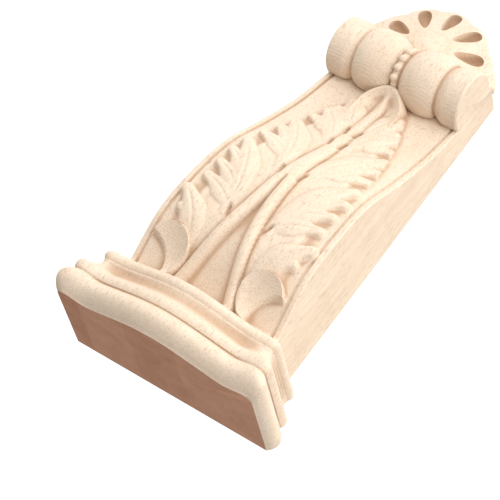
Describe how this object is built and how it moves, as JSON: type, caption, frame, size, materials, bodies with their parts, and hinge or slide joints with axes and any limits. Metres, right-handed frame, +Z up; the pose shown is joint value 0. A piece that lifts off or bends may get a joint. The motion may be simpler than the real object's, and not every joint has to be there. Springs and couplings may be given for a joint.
{
  "type": "carved wood corbel",
  "caption": "Carved wood corbel with a moulded cap, an acanthus leaf on a swelling front, a scroll roll and a fan shell below; fixes to a wall or cabinet by its flat back.",
  "frame": {"origin": "middle of the flat back face, halfway up and halfway across", "axes": "+Y into the wall behind the flat back, +Z up toward the cap, +X to the right seen from the front"},
  "size_m": [0.0786, 0.0372, 0.1626],
  "materials": {
    "wood": "sanded bare pale rubberwood, unvarnished"
  },
  "bodies": {
    "root": {"corbel": "wood"}
  },
  "joints": []
}
